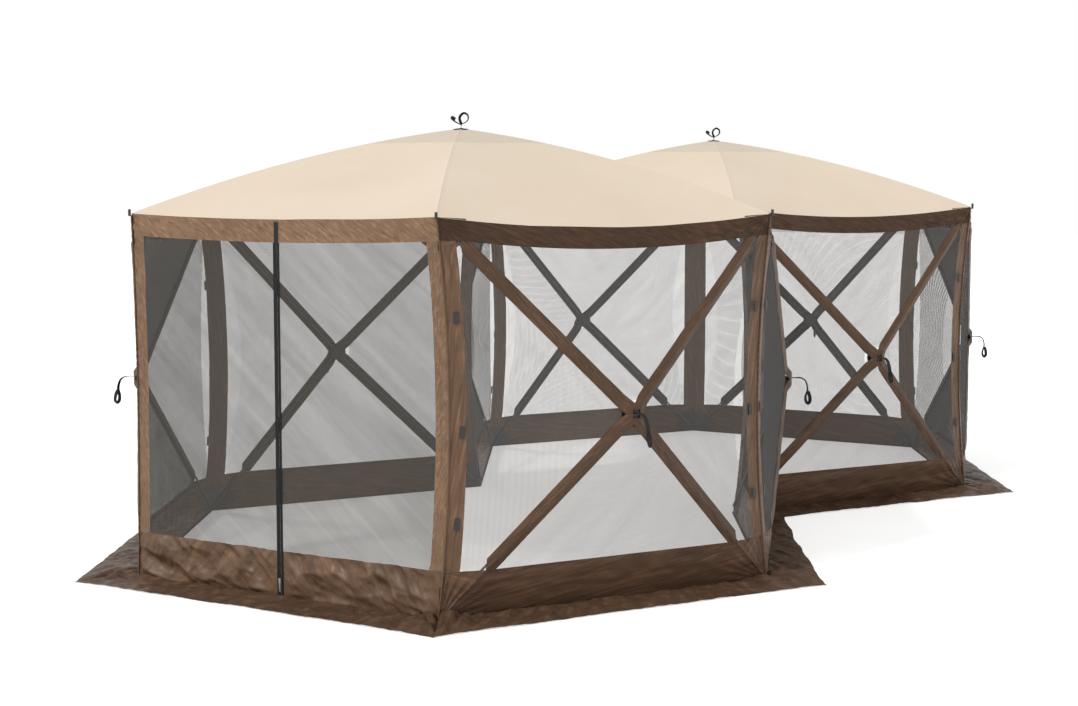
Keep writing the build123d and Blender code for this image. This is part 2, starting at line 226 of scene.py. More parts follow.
def cloth(name, colour, shade, rough, crinkle=0.35):
    """Woven polyester: a two-tone blotched colour, a fine weave and small crinkles."""
    made, tree, shader = material(name, rough, Sheen_Weight=0.04, Sheen_Roughness=0.4)
    broad = cloud(tree, coordinates(tree), Scale=1.6, Detail=5.0, Roughness=0.6)
    fine = cloud(tree, coordinates(tree), Scale=120.0, Detail=3.0)
    tone = mix_colours(tree, ramp(tree, broad, (0.3, 0), (0.7, 1)), shade, colour)
    tone = mix_colours(tree, ramp(tree, fine, (0.52, 0), (0.75, 0.6)), tone, tinted(colour, 0.86))
    creases = cloud(tree, coordinates(tree), Scale=14.0, Detail=6.0, Roughness=0.62,
                    Distortion=1.2)
    wrinkled = bumps(tree, creases, crinkle, 0.006)
    feed(tree, shader, Base_Color=tone,
         Roughness=ramp(tree, broad, (0.2, rough - 0.06), (0.8, rough + 0.08)),
         Normal=bumps(tree, weave(tree, CLOTH_PITCH), 0.12, 0.0003, wrinkled))
    return made


def satin(name, colour, lines, turn=0.12, crumple=0.55):
    """Coated polyester: creases in long streaks, over a fine weave, that catch the light through
    their bumps and gloss, with painted highlights along their crests and painted shade along their
    hollows.
    """
    made, tree, shader = material(name, 0.40, Specular_IOR_Level=0.16)
    # deep is a darker tone of the colour, used for random blotches and for painted shade in the
    # creases; light is the colour of a painted highlight
    deep, light = tinted(colour, 0.58), tinted(colour, 1.62)
    broad = cloud(tree, coordinates(tree), Scale=2.2, Detail=5.0, Roughness=0.6)
    streaks = cloud(tree, coordinates(tree, lines, "UV", turn), Scale=1.0, Detail=6.0,
                    Roughness=0.66, Distortion=0.5)
    tone = mix_colours(tree, ramp(tree, broad, (0.36, 0.55), (0.62, 0)), colour, deep)
    # painted shade: the hollows of the streaks, where the bump is low, are darkened
    tone = mix_colours(tree, ramp(tree, streaks, (0.36, 0.85), (0.50, 0)), tone, deep)
    # painted highlight: the crests of the streaks, where the bump is high, are lightened
    tone = mix_colours(tree, ramp(tree, streaks, (0.53, 0), (0.70, 0.85)), tone, light)
    wrinkled = bumps(tree, streaks, crumple, 0.004)
    feed(tree, shader, Base_Color=tone,
         Roughness=ramp(tree, streaks, (0.35, 0.48), (0.65, 0.32)),
         Normal=bumps(tree, weave(tree, CLOTH_PITCH), 0.10, 0.0003, wrinkled))
    return made


def netting(name, thread, solid_low, solid_high, streaks):
    """Insect netting: small holes let light through, and soft folds make it denser."""
    made, tree, shader = material(name, 0.7, Specular_IOR_Level=0.1)
    folds = cloud(tree, coordinates(tree, streaks, "UV", radians(-40)), Scale=1.0, Detail=5.0,
                  Roughness=0.55, Distortion=0.6)
    scaled = node(tree, "ShaderNodeMath", operation="MULTIPLY")
    tree.links.new(weave(tree, NET_PITCH), scaled.inputs[0])
    scaled.inputs[1].default_value = 0.25
    total = node(tree, "ShaderNodeMath", operation="ADD")
    tree.links.new(scaled.outputs[0], total.inputs[0])
    tree.links.new(ramp(tree, folds, (0.35, 0), (0.72, 0.5)), total.inputs[1])
    feed(tree, shader,
         Alpha=ramp(tree, total.outputs[0], (0.1, solid_low), (0.95, solid_high)),
         Base_Color=mix_colours(tree, folds, thread, tinted(thread, 0.75)))
    return made


def plastic(name, colour, rough, metal=0.0):
    """Moulded or drawn parts, with a fine grain and a little wear."""
    made, tree, shader = material(name, rough, Metallic=metal)
    grain = cloud(tree, coordinates(tree), Scale=900.0, Detail=2.0)
    wear = cloud(tree, coordinates(tree), Scale=30.0, Detail=5.0)
    worn = ramp(tree, wear, (0.35, 0), (0.75, 1))
    feed(tree, shader,
         Base_Color=mix_colours(tree, worn, colour, tinted(colour, 1.35, 0.008)),
         Roughness=ramp(tree, wear, (0.3, rough - 0.08), (0.8, rough + 0.12)),
         Normal=bumps(tree, grain, 0.15, 0.0004))
    return made


def webbing(name, colour, place="UV"):
    """Ribbed black webbing, with a paler thread here and there."""
    made, tree, shader = material(name, 0.7, Specular_IOR_Level=0.2)
    raised = weave(tree, WEBBING_PITCH, place)
    pale = tinted(colour, 2.4, 0.006)
    feed(tree, shader,
         Base_Color=mix_colours(tree, ramp(tree, raised, (0.55, 0), (0.95, 1)), colour, pale),
         Normal=bumps(tree, raised, 0.5, 0.0008))
    return made


TAN = cloth("canopy_tan", (0.565, 0.482, 0.388), (0.535, 0.450, 0.352), 0.78, crinkle=0.10)
CAP_TAN = cloth("canopy_cap_tan", (0.495, 0.428, 0.345), (0.475, 0.402, 0.318), 0.78,
                crinkle=0.10)
SEAM_TAN = cloth("canopy_seam", (0.50, 0.41, 0.32), (0.46, 0.37, 0.285), 0.8, crinkle=0.2)
BROWN = satin("brown_satin", (0.138, 0.080, 0.048), lines=(5.0, 70.0, 1.0), crumple=0.35)
SLEEVE_BROWN = satin("sleeve_satin", (0.088, 0.050, 0.030), lines=(85.0, 7.0, 1.0), turn=0.08)
# painted shade: the hub walls' eave band, also used for the shared valance, is a much darker copy
# of the door wall's band satin
BAND_BROWN_PAINTED_SHADE = satin("band_satin", (0.060, 0.032, 0.018), lines=(10.0, 75.0, 1.0), turn=0.35)
# painted shade: the hub walls' skirt is a slightly darker copy of the door wall's skirt satin
SKIRT_BROWN = satin("skirt_satin", (0.112, 0.062, 0.037), lines=(4.0, 60.0, 1.0), turn=-0.15)
FLAP_BROWN = satin("flap_satin", (0.084, 0.049, 0.030), lines=(17.0, 6.0, 1.0), turn=0.5)
# painted light: the door wall's band, strips and skirt are brighter copies of the hub walls' band,
# strips and skirt satins, for the side that the sun lights, on top of the sun's own light
DOOR_BAND_PAINTED_LIT = satin("door_band_satin_painted_lit", (0.190, 0.114, 0.068), lines=(16.0, 90.0, 1.0), turn=-0.6,
                  crumple=0.8)
DOOR_BROWN_PAINTED_LIT = satin("door_strip_satin_painted_lit", (0.170, 0.104, 0.064), lines=(110.0, 22.0, 1.0),
                   turn=-0.3, crumple=0.8)
DOOR_SKIRT_PAINTED_LIT = satin("door_skirt_satin_painted_lit", (0.122, 0.072, 0.044), lines=(5.0, 21.0, 1.0), turn=-0.95,
                   crumple=0.9)
PATCH = cloth("corner_patch", (0.040, 0.034, 0.030), (0.030, 0.026, 0.023), 0.6)
NET = netting("netting_grey", (0.19, 0.186, 0.18), 0.22, 0.38, (1.2, 5, 1))
DOOR_NET = netting("netting_door", (0.070, 0.066, 0.060), 0.56, 0.76, (1.0, 9, 1))
THREAD = plastic("netting_thread", (0.045, 0.043, 0.041), 0.8)
BLACK = plastic("black_plastic", (0.012, 0.012, 0.013), 0.48)
POLE_GREY = plastic("pole_fibreglass", (0.045, 0.043, 0.042), 0.35)
STEEL = plastic("slider_steel", (0.32, 0.32, 0.33), 0.33, metal=0.9)
TAPE = webbing("zipper_tape", (0.004, 0.004, 0.0045), "Object")
STRAP_BLACK = webbing("strap_webbing", (0.016, 0.016, 0.018))


# -------------------- mesh helpers


def mesh_object(name, points, faces, look, places=None):
    data = bpy.data.meshes.new(name)
    data.from_pydata([tuple(p) for p in points], [], faces)
    data.polygons.foreach_set("use_smooth", [True] * len(data.polygons))
    data.materials.append(look)
    if places:
        layer = data.uv_layers.new(name="UVMap")
        corners = [places[loop.vertex_index] for loop in data.loops]
        layer.data.foreach_set("uv", [x for place in corners for x in place])
    made = bpy.data.objects.new(name, data)
    bpy.context.collection.objects.link(made)
    return made


def grid_faces(rows, columns, start=0, around=False):
    faces = []
    for r in range(rows - 1):
        for c in range(columns if around else columns - 1):
            d = (c + 1) % columns
            faces.append((start + r * columns + c, start + r * columns + d,
                          start + (r + 1) * columns + d, start + (r + 1) * columns + c))
    return faces


def length_of(line):
    return sum((b - a).length for a, b in zip(line, line[1:]))


def grid_places(grid):
    """Each point's place over the cloth, in metres, for its weave."""
    rows, columns = len(grid), len(grid[0])
    wide = max(length_of(grid[0]), length_of(grid[-1]), length_of(grid[rows // 2]))
    high = length_of([row[columns // 2] for row in grid])
    return [(wide * c / (columns - 1), high * r / (rows - 1))
            for r in range(rows) for c in range(columns)]


def patches(name, grids, look, extra=((), ())):
    """One object from several grids of points, each a list of rows, and extra loose faces."""
    points, faces, places = [], [], []
    for grid in grids:
        faces += grid_faces(len(grid), len(grid[0]), len(points))
        places += grid_places(grid)
        for row in grid:
            points += row
    cloth_faces, start = len(faces), len(points)
    points += extra[0]
    places += [(0.0, 0.0)] * len(extra[0])
    faces += [tuple(start + k for k in face) for face in extra[1]]
    made = mesh_object(name, points, faces, look, places)
    if extra[1]:
        made.data.materials.append(THREAD)
        for face in made.data.polygons[cloth_faces:]:
            face.material_index = 1
    made["cloth_area"] = sum(face.area for face in made.data.polygons[:cloth_faces])
    return made


def weld(piece, within=0.0004):
    """Join the points where one object's grids meet, so that its shading runs on."""
    made = bmesh.new()
    made.from_mesh(piece.data)
    bmesh.ops.remove_doubles(made, verts=made.verts, dist=within)
    made.to_mesh(piece.data)
    made.free()


def spread(low, high, count):
    return [low + (high - low) * k / (count - 1) for k in range(count)]


# -------------------- hub walls


def outline(n, edge, v):
    """A point on a hub wall's edge, clockwise from its top left corner as seen from outside."""
    left, right = corner(n), corner(n + 1)
    if edge == "top":
        return left.lerp(right, v) + UP * (EAVE - EAVE_SAG * arch(v))
    if edge == "right":
        return right + UP * (EAVE * (1 - v)) + edge_bow(n + 1) * arch(v)
    if edge == "bottom":
        return right.lerp(left, v)
    return left + UP * (EAVE * v) + edge_bow(n) * arch(v)


def apex(n):
    return (corner(n) + corner(n + 1)) * 0.5 + UP * (EAVE / 2) + outward(n) * BULGE


def crease(x, y, seed):
    """A crumple with sharp ridges, about 0 on average."""
    return 0.5 - 2 * abs(noise.noise(Vector((x, y, seed))))


def stands_out(n, point):
    return (point - corner(n)).dot(outward(n))


def share_at(n, rim, level):
    """How far towards the hub the fabric from this rim point stands out by level."""
    own = stands_out(n, rim)
    return (level - own) / (BULGE - own)


FOLDS_TOP = 0.26  # the skirts' folds fade out below this height
FAN_REACH = 0.5  # gathers fan out this far from a wall's corners


def pleats(n, point):
    """How far folds, gathers, ruching and corner fans move a wall's fabric outward."""
    x = (point - corner(n)).dot(along(n))
    z = point.z
    seed = 7.3 * n
    total = 0.0012 * noise.noise(Vector((x * 5, z * 9, seed)))
    low = smooth((FOLDS_TOP - z) / 0.06)
    if low:
        folds = 0.0050 * crease(x * 1.3 + z * 2, z * 13, seed + 3)
        folds += 0.0040 * noise.noise(Vector((x * 9 + z * 14, z * 7 - x * 3, seed + 5)))
        total += low * folds * smooth(z / 0.03)
    high = smooth((z - (EAVE - BAND_DEPTH - EAVE_SAG)) / 0.04)
    if high:
        gathers = 0.0042 * crease(x * 7 + z * 9, z * 16 - x * 3, seed + 2)
        total += high * gathers * smooth((EAVE - EAVE_SAG * arch(x / SIDE) - z) / 0.02)
    edge = smooth((abs(x - HALF) - HALF + STRIP_WIDTH + 0.06) / 0.03) * (1 - high) * (1 - low)
    if edge:
        total += edge * 0.0024 * crease(x * 20 + z * 3, z * 3, seed + 8)
    for foot_x, foot_z in ((0, 0), (SIDE, 0), (0, EAVE), (SIDE, EAVE)):
        dx, dz = x - foot_x, z - foot_z
        far = sqrt(dx * dx + dz * dz)
        if 0.01 < far < FAN_REACH:
            turn = np.arctan2(abs(dz), abs(dx))
            fan = sin(turn * 34 + 2.0 * noise.noise(Vector((turn * 3, far * 5, seed))))
            total += fan * 0.0038 * smooth(far / 0.05) * smooth((0.42 - far) / 0.36)
    return total


def wall_point(n, rim, share, lift=0.0):
    base = rim.lerp(apex(n), share)
    return base + outward(n) * (pleats(n, base) + lift)


# The fabric of a hub wall is made in rings that end where it stands out this far.
RINGS = [0.0, SKIRT_HEIGHT / hypot(HALF, BULGE), 0.60, 0.78, 0.93, 1.0]
BENDS = [unsmooth(share) for share in RINGS]


def follow(piece, n, ring, lift=0.0):
    """Bake a wall piece's place into its points. The blend span for one of the rings is worked out
    but not used. The lift, for a piece that lies over or under the netting, is not used."""
    start, end = blend_span(RINGS[ring], RINGS[ring + 1], BENDS, ring)
    middle = (corner(n) + corner(n + 1)) * 0.5
    middle + outward(n) * (BULGE * start + lift)
    middle + outward(n) * (BULGE * end + lift)
    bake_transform(piece)


def edge_shares(n, edge):
    """The share of the way to the hub that each edge's brown cloth covers."""
    ends = outline(n, edge, 0), outline(n, edge, 1)
    tip = apex(n)
    high = (tip - ends[0]).cross(ends[1] - ends[0]).length / (ends[1] - ends[0]).length
    wide = {"top": BAND_DEPTH, "bottom": SKIRT_HEIGHT}.get(edge, STRIP_WIDTH)
    return wide / high


def trim_share(n, rim):
    """How far towards the hub the skirt or the band reaches from a point of a side rim."""
    middle = EAVE / 2
    foot = middle * edge_shares(n, "bottom")
    head = EAVE - middle * edge_shares(n, "top")
    if rim.z < foot:
        return (foot - rim.z) / (middle - rim.z)
    if rim.z > head:
        return (rim.z - head) / (rim.z - middle)
    return 0.0


def side_grid(n, edge, low_z, high_z, low, high, rows, columns):
    """Fabric beside an upright edge, between two heights of its rim."""
    span = (low_z / EAVE, high_z / EAVE)
    if edge == "right":
        span = (1 - span[1], 1 - span[0])
    return ring_grid(n, edge, low, high, rows, columns, span=span)


def ring_grid(n, edge, low, high, rows, columns, lift=0.0, span=(0, 1)):
    """Fabric of one edge's facet, between two functions of the rim point."""
    grid = []
    rims = [outline(n, edge, v) for v in spread(*span, columns)]
    spans = [(low(rim), high(rim)) for rim in rims]
    for part in spread(0, 1, rows):
        row = [wall_point(n, rim, a + (b - a) * part, lift) for rim, (a, b) in zip(rims, spans)]
        grid.append(row)
    return grid


RIM_STEPS = 80


def depth_of(n):
    """A function of places across and up a wall that gives how far its fabric stands out
    there and the share of the way to the hub."""
    rims = [outline(n, edge, v) for edge in EDGES for v in spread(0, 1, RIM_STEPS)[:-1]]
    x = np.array([(rim - corner(n)).dot(along(n)) for rim in rims]) - HALF
    z = np.array([rim.z for rim in rims]) - EAVE / 2
    own = np.array([stands_out(n, rim) for rim in rims])
    turn, far = np.arctan2(z, x), np.hypot(x, z)
    order = np.argsort(turn)
    turn, far, own = turn[order], far[order], own[order]

    def depth(across, up):
        angle = np.arctan2(up - EAVE / 2, across - HALF)
        rim_far = np.interp(angle, turn, far, period=2 * pi)
        share = 1 - np.hypot(across - HALF, up - EAVE / 2) / rim_far
        rim_own = np.interp(angle, turn, own, period=2 * pi)
        return rim_own * (1 - share) + BULGE * share, share

    return depth


RIB_STEP = 0.0055
RIB_DEPTH = 0.0013
RIB_SPANS = 34
RIB_MARGIN = 0.10  # from the wall's corners to the first thread


def ribs(n, ring, depth):
    """The netting's heavier upright threads, which stand proud on its inner side."""
    low, high = BULGE * RINGS[ring], BULGE * RINGS[ring + 1]
    side, top, bottom = (edge_shares(n, edge) for edge in ("left", "top", "bottom"))
    points, faces = [], []
    inner = outward(n) * -RIB_DEPTH
    for x in np.arange(RIB_MARGIN, SIDE - RIB_MARGIN, RIB_STEP):
        z = np.linspace(SKIRT_HEIGHT - 0.03, EAVE - 0.09, RIB_SPANS)
        out, share = depth(np.full(len(z), x), z)
        least = np.where(abs(x - HALF) > abs(z - EAVE / 2), side,
                         np.where(z > EAVE / 2, top, bottom))
        keep = (out >= low) & (out < high) & (share > least) & (share < RINGS[4])
        base = corner(n) + along(n) * x
        line = [base + UP * float(up) + outward(n) * float(far) for up, far in zip(z, out)]
        last = None
        for k in range(len(z)):
            shown = keep[k] or (k + 1 < len(z) and keep[k + 1] and share[k] < least[k])
            if last is None and not shown:
                continue
            place = line[k] + outward(n) * pleats(n, line[k])
            points += [place, place + inner]
            if last is not None:
                faces.append((last, len(points) - 2, len(points) - 1, last + 1))
            last = len(points) - 2 if shown else None
    return points, faces


NET_ROWS = (7, 16, 9, 8)
NET_COLUMNS = 61


def wall_mesh(n):
    """The netting of a hub wall, in rings from its trim to the hub."""
    levels = [BULGE * share for share in RINGS]
    depth = depth_of(n)
    for ring, rows in enumerate(NET_ROWS):
        grids = []
        for edge in EDGES:
            own = edge_shares(n, edge)
            if ring == 0 and edge == "bottom":
                continue
            def low(rim, own=own, ring=ring, edge=edge):
                if ring:
                    return share_at(n, rim, levels[ring])
                return own if edge == "top" else max(own, trim_share(n, rim))
            def high(rim, ring=ring):
                return share_at(n, rim, levels[ring + 1])
            span = (0.006, 0.994) if ring == 0 and edge != "top" else (0, 1)
            grids.append(ring_grid(n, edge, low, high, rows, NET_COLUMNS, span=span))
        piece = patches(f"net_{n}_{ring + 1}", grids, NET, ribs(n, ring, depth))
        if ring == 0:
            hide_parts(f"screen_{n}")
        follow(piece, n, ring)


BAND_ROWS = 15
SKIRT_ROWS = 24


def wall_edges(n):
    """The brown eave band, corner strips and skirt of a hub wall."""
    middle = EAVE / 2
    def at_rim(rim):
        return 0.0
    def trim(rim):
        return trim_share(n, rim)
    foot = middle * edge_shares(n, "bottom")
    head = EAVE - middle * edge_shares(n, "top")
    side = edge_shares(n, "left")
    ends = (foot - side * middle) / (1 - side), (head - side * middle) / (1 - side)
    band = [ring_grid(n, "top", at_rim, lambda rim: edge_shares(n, "top"), BAND_ROWS, 161)]
    skirt = [ring_grid(n, "bottom", at_rim, lambda rim: RINGS[1], SKIRT_ROWS, 141)]
    strips = []
    for edge in ("left", "right"):
        band.append(side_grid(n, edge, head + 0.001, EAVE, at_rim, trim, BAND_ROWS, 12))
        skirt.append(side_grid(n, edge, 0.0, foot - 0.001, at_rim, trim, SKIRT_ROWS, 20))
        strips.append(side_grid(n, edge, ends[0], ends[1], trim, lambda rim: side, 11, 121))
    kinds = (("band", band, BAND_BROWN_PAINTED_SHADE, BAND_DEPTH, SIDE),
             ("strips", strips, BROWN, STRIP_WIDTH, 2 * SIDE),
             ("skirt", skirt, SKIRT_BROWN, SKIRT_HEIGHT, SIDE))
    made = {}
    for kind, grids, look, wide, length in kinds:
        piece = patches(f"{kind}_{n}", grids, look)
        follow(piece, n, 0)
        made[kind] = piece
    return made


SLEEVE_END = 0.978  # share of the way to the hub at which the sleeves stop
SLEEVE_LIFT = 0.006  # how far the sleeves lie over the netting, on average
SLEEVE_ROWS = (14, 20, 14, 12, 14)
SLEEVE_DOME = 0.020  # how far the crossing patch domes out over the hub
# The edges on either side of each pole, which start and end at its corner
POLE_EDGES = (("top", "left"), ("right", "top"), ("bottom", "right"), ("left", "bottom"))


def wall_sleeves(n):
    """The sleeves over the four poles, widened at the hub into one crossing patch."""
    made = []
    head = edge_shares(n, "top")
    starts = [head] + RINGS[1:5]
    ends = RINGS[1:5] + [SLEEVE_END]
    for ring, (low, high) in enumerate(zip(starts, ends)):
        grids = []
        for edge, other in POLE_EDGES:
            upper = "top" in (edge, other)
            if ring == 0 and not upper:
                continue
            begin = head if upper else RINGS[1]
            grid = []
            for share in spread(low, high, SLEEVE_ROWS[ring]):
                row = []
                for u in spread(-1, 1, 17):
                    reach = SLEEVE_HALF * abs(u) / ((1 - share) * sin(pi / 4)) / SIDE
                    reach = min(reach, 0.5)
                    rim = outline(n, edge, reach) if u > 0 else outline(n, other, 1 - reach)
                    base = rim.lerp(apex(n), share)
                    off = (base - apex(n)).length
                    dome = SLEEVE_DOME * smooth((0.100 - off) / 0.055)
                    rough = 0.0016 * noise.noise(base * 16) + 0.0010 * noise.noise(base * 45)
                    round_up = 0.0065 * (1 - u * u) * smooth((share - begin) / 0.07)
                    lift = pleats(n, base) + 0.0022 + round_up + rough + dome
                    row.append(base + outward(n) * lift)
                grid.append(row)
            grids.append(grid)
        piece = patches(f"sleeves_{n}_{ring + 1}", grids, SLEEVE_BROWN)
        follow(piece, n, ring, SLEEVE_LIFT)
        made.append(piece)
    return made


first_of = {}
for n in HUB_WALLS:
    wall_mesh(n)
    edges = wall_edges(n)
    first_of[n] = (edges, wall_sleeves(n))
for shelter, first in (("west", 1), ("east", 3)):
    edges, sleeves = first_of[first]
    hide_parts(f"eave_band_{shelter}")
    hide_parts(f"corner_strips_{shelter}")
    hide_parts(f"skirt_{shelter}")
    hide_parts(f"pole_sleeves_{shelter}")


# -------------------- roofs


def ridge(shelter, n, share):
    foot, top = corner(n) + UP * EAVE, CENTRES[shelter] + UP * PEAK
    return foot.lerp(top, share) + UP * (RIDGE_BOW * arch(share))


def eave_sag(n, m):
    return EAVE_SAG if m == (n + 1) % 10 and n != DOOR else DOOR_SAG


def roof_point(shelter, n, m, v, share):
    """A point of the gore between corners n and m, at v across and share of the way up."""
    base = ridge(shelter, n, share).lerp(ridge(shelter, m, share), v)
    low = max(0.0, 1 - share / 0.36)
    sag = eave_sag(n, m) * arch(v) * low * low
    slack = 0.016 * arch(v) * arch(min(share / CAP_RING, 1.0))
    ripple = noise.noise(base * 2.6 + Vector((n, 0, 0))) * 0.006 * arch(v)
    ripple *= smooth((0.95 - share) / 0.2)
    seam = 0.0018 * smooth(1 - abs(min(v, 1 - v)) * SIDE * (1 - share) / 0.014)
    return base + UP * (seam - sag - slack + ripple)


ROOF_HALVINGS = 26


def share_at_height(shelter, n, m, v, height):
    """The share of the way to the peak at which a line up a gore reaches a height."""
    low, high = 0.0, 1.0
    for _ in range(ROOF_HALVINGS):
        middle = (low + high) / 2
        below = roof_point(shelter, n, m, v, middle).z < height
        low, high = (middle, high) if below else (low, middle)
    return low


ROOF_RINGS = [0.0, 0.14, CAP_RING, 0.90, 1.0]
ROOF_BENDS = [unsmooth(share) for share in ROOF_RINGS]
ROOF_HOLE = 0.030
ROOF_NAMES = ("eave", "main", "cap", "crown")
ROOF_ROWS = (7, 26, 10, 6)
GORE_STEPS = 41


def roof_height(share):
    return EAVE + (PEAK - EAVE) * share + RIDGE_BOW * arch(share)


def canopy(shelter):
    """A roof's cloth: six gores in rings, one object for each ring."""
    loop = HEXAGONS[shelter]
    # Columns crowd towards the ridges, where the seams are
    steps = GORE_STEPS - 1
    across = [0.0] + [0.5 - 0.5 * cos(pi * k / steps) for k in range(1, steps)] + [1.0]
    for ring, (name, rows) in enumerate(zip(ROOF_NAMES, ROOF_ROWS)):
        bottom, top = roof_height(ROOF_RINGS[ring]), roof_height(ROOF_RINGS[ring + 1])
        top_share = 1 - ROOF_HOLE / SIDE if ring == 3 else None
        gores = []
        for k, n in enumerate(loop):
            m = loop[(k + 1) % 6]
            columns = []
            for v in across:
                low = share_at_height(shelter, n, m, v, bottom) if ring else 0.0
                high = top_share or share_at_height(shelter, n, m, v, top)
                columns.append([roof_point(shelter, n, m, v, s) for s in spread(low, high, rows)])
            gores.append([[column[r] for column in columns] for r in range(rows)])
        piece = patches(f"roof_{shelter}_{name}", gores, CAP_TAN if ring > 1 else TAN)
        piece.data.materials.append(SEAM_TAN)
        for face in piece.data.polygons:
            if face.index % steps in (0, steps - 1):
                face.material_index = 1
        weld(piece)
        start, end = blend_span(bottom, top, ROOF_BENDS, ring)
        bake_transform(piece)
    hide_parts(f"canopy_{shelter}")


for shelter in CENTRES:
    canopy(shelter)


# -------------------- door wall


def door_edge(level):
    """Half the door wall's width at a height."""
    return HALF + CORNER_BOW * arch(level / EAVE) * edge_bow(1).normalized().dot(along(DOOR))


def door_point(across, level, out=0.0):
    """A point on the door wall, whose edges are drawn in towards the walls beside it."""
    inward = edge_bow(1).dot(outward(DOOR)) * arch(level / EAVE) * abs(across) / door_edge(level)
    middle = (corner(0) + corner(1)) * 0.5
    return middle + along(0) * across + UP * level + outward(0) * (out + inward)


def band_foot(across):
    return EAVE - BAND_DEPTH - DOOR_SAG * arch(0.5 + across / SIDE)


ZIP_EDGE = 0.011  # the door's cloth runs this near to its middle, behind the zipper's tape
DOOR_STRIP_LENGTH = 1.5


def door_wrinkle(x, z):
    """The door wall hangs slack: broad soft folds, ruched edges and a crumpled skirt."""
    soft = noise.noise(Vector((x * 2.6 + z * 2.2, z * 1.6 - x * 1.2, 1.7))) * 0.018
    soft += noise.noise(Vector((x * 7 - z * 6, z * 4 + x * 3, 5.1))) * 0.006
    total = soft * smooth((door_edge(z) - abs(x)) / 0.25) * smooth((EAVE - z) / 0.3)
    low = smooth((FOLDS_TOP - z) / 0.06)
    if low:
        folds = 0.030 * crease(x * 3.2 + z * 6, z * 3 - x * 2.0, 2.2)
        folds += 0.019 * crease(x * 9 + z * 9, z * 8, 8.2)
        folds += 0.005 * crease(x * 24 + z * 14, z * 20, 3.8)
        total += low * folds * smooth(z / 0.03) * smooth((HALF - abs(x)) / 0.06)
    high = smooth((z - (EAVE - BAND_DEPTH - 0.03)) / 0.03)
    if high:
        gathers = 0.0075 * crease(x * 9 + z * 12, z * 9 - x * 2, 3.3)
        gathers += 0.0034 * crease(x * 26 + z * 30, z * 14, 6.1)
        total += high * gathers * smooth((EAVE - DOOR_SAG * arch(0.5 + x / SIDE) - z) / 0.02)
    edge = smooth((abs(x) - door_edge(z) + DOOR_STRIP_WIDTH + 0.01) / 0.02) * (1 - high) * (1 - low)
    if edge:
        ruched = 0.0042 * crease(x * 17 + z * 3, z * 3, 9.4)
        ruched += 0.0022 * crease(x * 25 + z * 18, z * 26, 4.4)
        total += edge * ruched * smooth((door_edge(z) - abs(x)) / 0.012)
    zip_calm = smooth((abs(x) - 0.015) / 0.08)
    return total * zip_calm - 0.0008


def door_grid(low_x, high_x, low_z, high_z, columns, rows):
    """A grid between functions of height (its sides) and of place across (its ends)."""
    grid = []
    for part in spread(0, 1, rows):
        row = []
        for way in spread(0, 1, columns):
            z = low_z(0) + (high_z(0) - low_z(0)) * part
            x = low_x(z) + (high_x(z) - low_x(z)) * way
            z = low_z(x) + (high_z(x) - low_z(x)) * part
            row.append(door_point(x, z, door_wrinkle(x, z)))
        grid.append(row)
    return grid


def door_wall():
    """The door wall's two leaves of netting, its band, strips and skirt."""
    for side, name in ((-1, "left"), (1, "right")):
        ends = (lambda z: side * ZIP_EDGE, lambda z: side * (door_edge(z) - DOOR_STRIP_WIDTH))
        leaf = door_grid(*ends[::side], lambda x: SKIRT_HEIGHT, band_foot, 51, 91)
        piece = patches(f"door_net_{name}", [leaf], DOOR_NET)
        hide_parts(f"door_leaf_{name}")
        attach(piece, "shell")
    band = door_grid(lambda z: -door_edge(z), door_edge, band_foot,
                     lambda x: EAVE - DOOR_SAG * arch(0.5 + x / SIDE), 241, 15)
    strips = [
        door_grid(lambda z: side * (door_edge(z) - DOOR_STRIP_WIDTH), lambda z: side * door_edge(z),
                  lambda x: SKIRT_HEIGHT, band_foot, 15, 161)
        for side in (-1, 1)
    ]
    skirts = [
        door_grid(lambda z: side * ZIP_EDGE, lambda z: side * door_edge(z),
                  lambda x: 0.0, lambda x: SKIRT_HEIGHT, 101, 34)
        for side in (-1, 1)
    ]
    rows = (("door_band", [band], DOOR_BAND_PAINTED_LIT, (SIDE, BAND_DEPTH)),
            ("door_strips", strips, DOOR_BROWN_PAINTED_LIT, (2 * DOOR_STRIP_LENGTH, DOOR_STRIP_WIDTH)),
            ("door_skirt", skirts, DOOR_SKIRT_PAINTED_LIT, (SIDE, SKIRT_HEIGHT)))
    for name, grids, look, flat in rows:
        piece = patches(name, grids, look)
        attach(piece, "shell")


def shared_valance():
    """The band across the shared open side, under both canopies."""
    left, right = corner(3), corner(8)
    grid = []
    for drop in spread(0.002, BAND_DEPTH, 9):
        row = []
        for v in spread(0.006, 0.994, 121):
            place = left.lerp(right, v) + UP * (EAVE - DOOR_SAG * arch(v) - drop)
            ripple = 0.006 * crease(v * 15 + drop * 9, drop * 9, 5.5) * smooth(drop / 0.03)
            row.append(place + Vector((ripple, 0, 0)))
        grid.append(row)
    piece = patches("shared_valance", [grid], BAND_BROWN_PAINTED_SHADE)
    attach(piece, "shell")


door_wall()
shared_valance()


# -------------------- ground flaps


